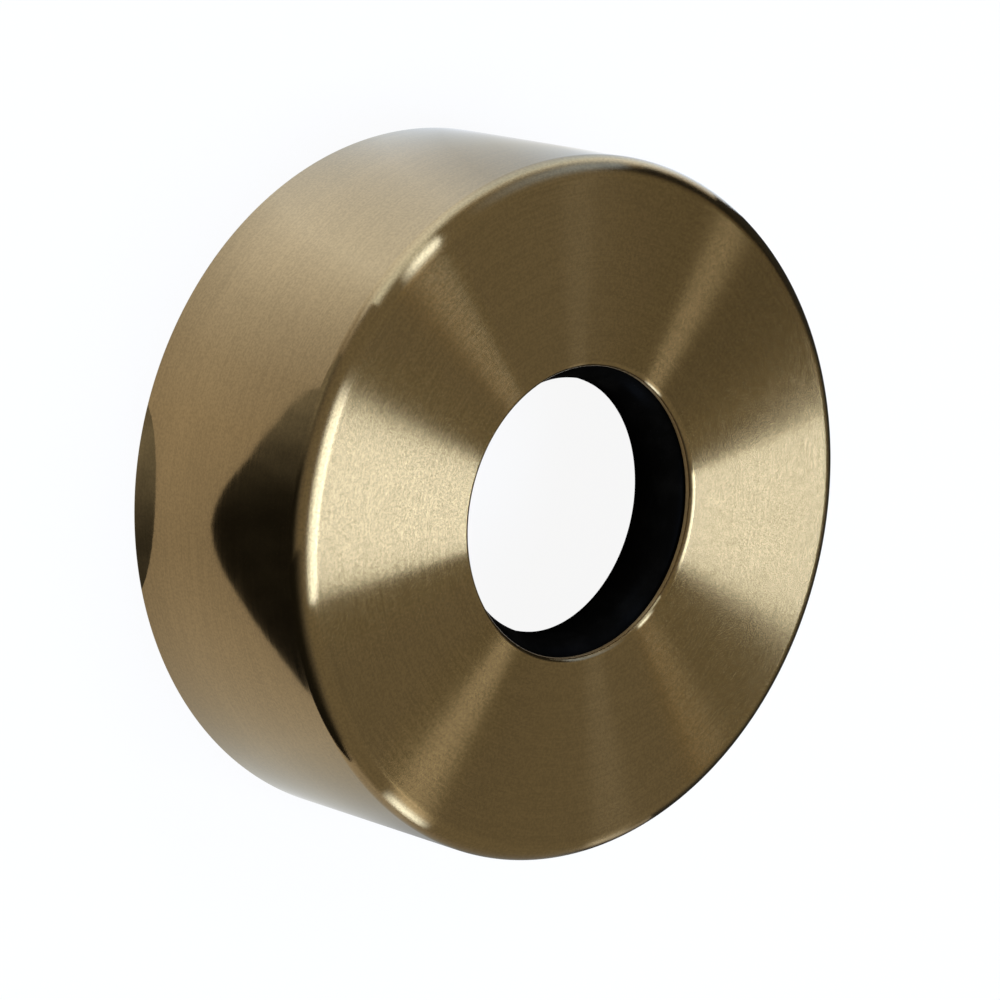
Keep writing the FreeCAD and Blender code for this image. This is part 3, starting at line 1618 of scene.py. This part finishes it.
    def build(self, face_height: float, camera_place: Vector) -> None:
        """Set up everything round the rosette.

        Args:
            face_height: Height of the rosette's face above the floor.
            camera_place: Where the camera stands.
        """
        self.add_floor()
        self.add_world()
        centre = Vector((0.0, 0.0, face_height))
        view = (camera_place - centre).normalized()
        for lamp in self.lamps:
            self.add(lamp.name, lamp.mesh(centre, view), lamp.material()).visible_camera = False
        for part in (*self.boards, self.card, *self.walls):
            thing = self.add(part.name, part.mesh(), part.material())
            thing.visible_camera = False
            thing.visible_diffuse = False
            thing.visible_transmission = False
            thing.visible_shadow = False

    @staticmethod
    def add(name: str, mesh: bpy.types.Mesh, material: bpy.types.Material) -> bpy.types.Object:
        """Add something that isn't part of the rosette.

        Args:
            name: Its name.
            mesh: Its mesh.
            material: Its finish.

        Returns:
            The object.
        """
        mesh.materials.append(material)
        thing = bpy.data.objects.new(name, mesh)
        bpy.context.scene.collection.objects.link(thing)
        LOG.info("%s: %d faces", name, len(mesh.polygons))
        return thing

    def add_floor(self) -> None:
        """Add the floor, a disc whose edge rises."""
        steps = 96
        bend_steps = 8
        flat_end = self.floor_radius - self.bend
        rings = [(0.2, 0.0), (1.0, 0.0), (flat_end, 0.0)]
        for step in range(1, bend_steps + 1):
            angle = math.pi / 2 * step / bend_steps
            rings.append((flat_end + self.bend * math.sin(angle), self.bend * (1 - math.cos(angle))))
        rings.append((self.floor_radius, self.backdrop_height))
        vertices = [(0.0, 0.0, 0.0)]
        for radius, height in rings:
            vertices += [on_circle(radius, 2 * math.pi * step / steps, height) for step in range(steps)]
        faces = [(0, 1 + step, 1 + (step + 1) % steps) for step in range(steps)]
        faces += ring_faces(len(rings), steps, start=1)
        self.add("floor", staged_mesh("floor", vertices, faces), PaleFloor().material())

    def add_world(self) -> None:
        """Set the room's dim even light."""
        world = bpy.data.worlds.new("room")
        bpy.context.scene.world = world
        world.use_nodes = True
        graph = Graph(world.node_tree)
        glow = graph.add("ShaderNodeBackground", {"Color": (*ROOM_LIGHT, 1.0), "Strength": 1.0})
        graph.add("ShaderNodeOutputWorld", {"Surface": glow.outputs[0]})


@dataclass(frozen=True)
class PhotoCamera:
    """The camera at the photograph's viewing angle.

    Attributes:
        aim: The point that it looks at.
        elevation: Its elevation over that point, in degrees.
        distance: Its distance from that point.
        roll: Turn of the picture about the line of sight, in degrees.
        lens: Focal length, in millimetres.
        sensor: Sensor width, in millimetres.
        nearest: Distance from which on it sees things.
        farthest: Distance up to which it sees them.
    """

    aim: tuple = (0.000512, -0.0082, 0.0195)
    elevation: float = 47.757
    distance: float = 0.350
    roll: float = 103.9
    lens: float = 176.45
    sensor: float = 36.0
    nearest: float = 0.01
    farthest: float = 20.0

    def place(self) -> Vector:
        """Add the camera, which stands over the -Y side.

        Returns:
            Where it stands.
        """
        elevation = math.radians(self.elevation)
        roll = math.radians(self.roll)
        back = Vector((0.0, -math.cos(elevation), math.sin(elevation)))
        level = Vector((1.0, 0.0, 0.0))
        upright = back.cross(level)
        right = level * math.cos(roll) + upright * math.sin(roll)
        up = back.cross(right)
        turn = Matrix((right, up, back)).transposed().to_4x4()
        data = bpy.data.cameras.new("camera")
        data.lens = self.lens
        data.sensor_width = self.sensor
        data.clip_start = self.nearest
        data.clip_end = self.farthest
        camera = bpy.data.objects.new("camera", data)
        place = Vector(self.aim) + back * self.distance
        camera.matrix_world = Matrix.Translation(place) @ turn
        bpy.context.scene.collection.objects.link(camera)
        bpy.context.scene.camera = camera
        return place


def main() -> None:
    """Build the rosette piece by piece, then the studio and the camera."""
    logging.basicConfig(level=logging.INFO, format="%(name)s: %(message)s")
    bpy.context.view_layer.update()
    camera_place = PhotoCamera().place()
    cover = Cover()
    cover.dress(AntiqueBrass().material(cover))
    SealRing().dress(SatinRubber().material())
    SealRetainer().dress(PressedSteel().material())
    Studio().build(cover.depth * MM, camera_place)
    bpy.context.scene.view_settings.view_transform = "Standard"


if __name__ == "__main__":
    main()
